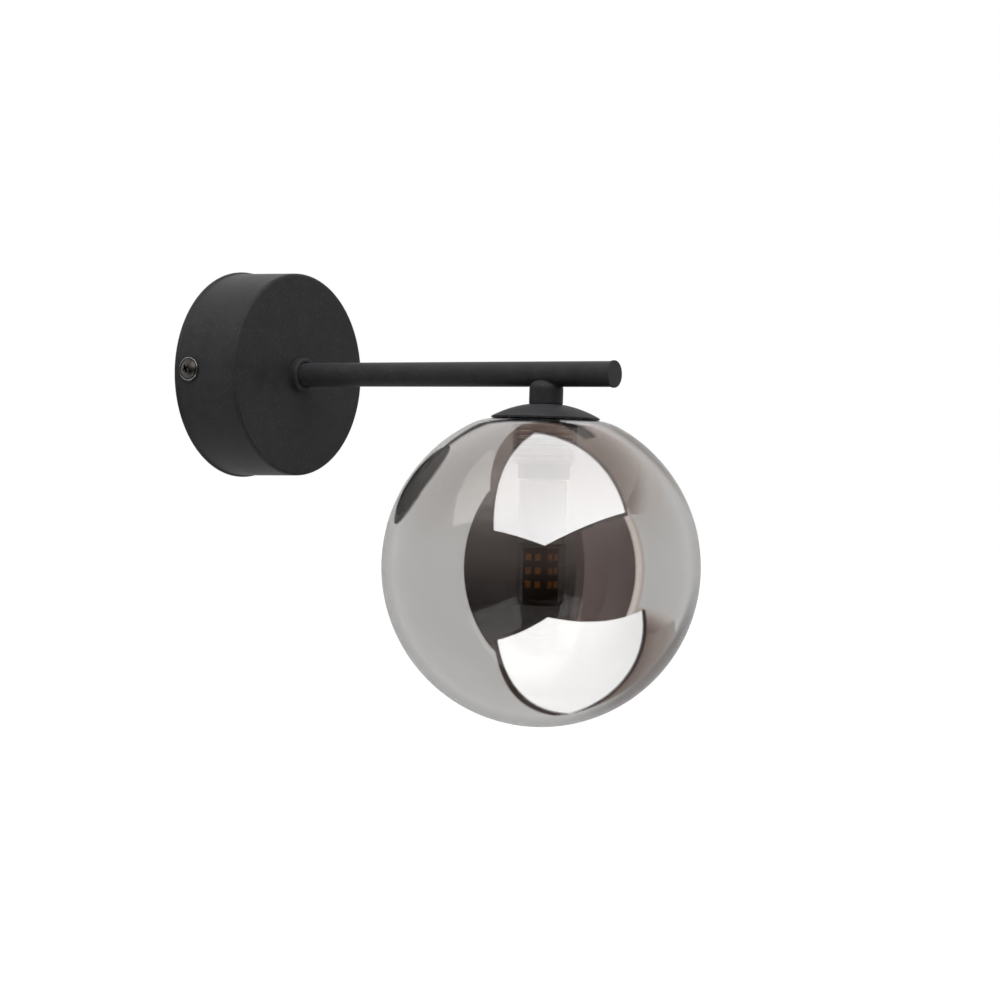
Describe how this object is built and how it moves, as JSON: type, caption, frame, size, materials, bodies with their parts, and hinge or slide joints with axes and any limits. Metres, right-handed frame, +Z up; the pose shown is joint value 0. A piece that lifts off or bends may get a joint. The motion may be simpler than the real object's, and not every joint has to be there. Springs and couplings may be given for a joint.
{
  "type": "globe wall sconce",
  "caption": "Wall light with a round black canopy, a straight tube arm, and a smoked mirror-glass globe screwed on below a shallow dome cap.",
  "frame": {"origin": "centre of the canopy's back, on the wall plane, which is also the middle of the wall plate's two slots", "axes": "+Z up, +Y into the wall, the arm along -Y"},
  "size_m": [0.15, 0.2612, 0.2184],
  "materials": {
    "black_powder_coat": "fine-textured matt black powder coat on steel",
    "zinc_steel": "bright zinc plate",
    "black_nickel": "dark nickel plate, satin",
    "rubber_black": "soft rubber",
    "terminal_plastic": "natural white polyamide",
    "brass": "bright brass",
    "tinned_copper": "tinned copper",
    "wire_brown": "brown insulation",
    "wire_blue": "blue insulation",
    "wire_earth": "green and yellow insulation",
    "holder_black": "moulded black thermoplastic with a coarse outside thread",
    "ceramic_white": "glazed white ceramic",
    "silicone_clear": "translucent silicone",
    "smoked_glass": "smoke-grey glass with a part-mirrored skin",
    "lamp_nickel": "nickel-plated brass",
    "lamp_glass_black": "black vitrite",
    "solder": "solder",
    "lamp_white": "white thermoplastic",
    "aluminium": "plain aluminium",
    "board_black": "black solder mask",
    "board_green": "green solder mask",
    "capacitor_sleeve": "shrink sleeve",
    "chip_amber": "amber phosphor",
    "lamp_clear": "clear polycarbonate"
  },
  "bodies": {
    "fixture": {"canopy": "black_powder_coat", "arm_collar": "black_powder_coat", "arm_tube": "black_powder_coat", "arm_plug": "black_powder_coat", "neck": "black_powder_coat", "shade_cap": "black_powder_coat", "wall_plate": "zinc_steel", "ear_nuts": "zinc_steel", "arm_nut": "zinc_steel", "arm_lock_washer": "zinc_steel", "arm_nipple": "zinc_steel", "neck_nipple": "zinc_steel", "holder_nut": "zinc_steel", "earth_washer": "zinc_steel", "earth_screw": "zinc_steel", "block_screw": "zinc_steel", "terminal_screws": "zinc_steel", "canopy_screws": "black_nickel", "cable_grommet": "rubber_black", "terminal_block": "terminal_plastic", "terminal_tubes": "brass", "centre_contact": "brass", "side_contact": "brass", "holder_shell": "brass", "earth_tag": "tinned_copper", "live_wire": "wire_brown", "neutral_wire": "wire_blue", "earth_wire": "wire_earth", "holder_body": "holder_black", "contact_block": "ceramic_white"},
    "globe_seal": {"globe_gasket": "silicone_clear"},
    "globe": {"globe": "smoked_glass"},
    "lamp_contact": {"lamp_tip": "solder"},
    "lamp": {"lamp_shell": "lamp_nickel", "lamp_insulator": "lamp_glass_black", "lamp_housing": "lamp_white", "lamp_base": "aluminium", "driver_board": "board_green", "driver_capacitor": "capacitor_sleeve", "led_boards": "board_black", "led_end_board": "board_black", "led_chips": "chip_amber", "lamp_cover": "lamp_clear"}
  },
  "joints": [
    {"name": "globe_drop", "type": "slide", "parent": "fixture", "child": "globe_seal", "axis": [0, 0, -1], "range_m": [0, 0.01251]},
    {"name": "globe_turn", "type": "hinge", "parent": "globe_seal", "child": "globe", "pos_m": [0, -0.1862, -0.0906], "axis": [0, 0, -1], "range_deg": [0, 1800]},
    {"name": "lamp_drop", "type": "slide", "parent": "fixture", "child": "lamp_contact", "axis": [0, 0, -1], "range_m": [0, 0.00848]},
    {"name": "lamp_turn", "type": "hinge", "parent": "lamp_contact", "child": "lamp", "pos_m": [0, -0.1862, -0.05], "axis": [0, 0, -1], "range_deg": [0, 1080]}
  ],
  "couplings": [
    {"joint": "globe_drop", "follows": "globe_turn", "m_per_rad": 0.00039789},
    {"joint": "lamp_drop", "follows": "lamp_turn", "m_per_rad": 0.00044914}
  ]
}
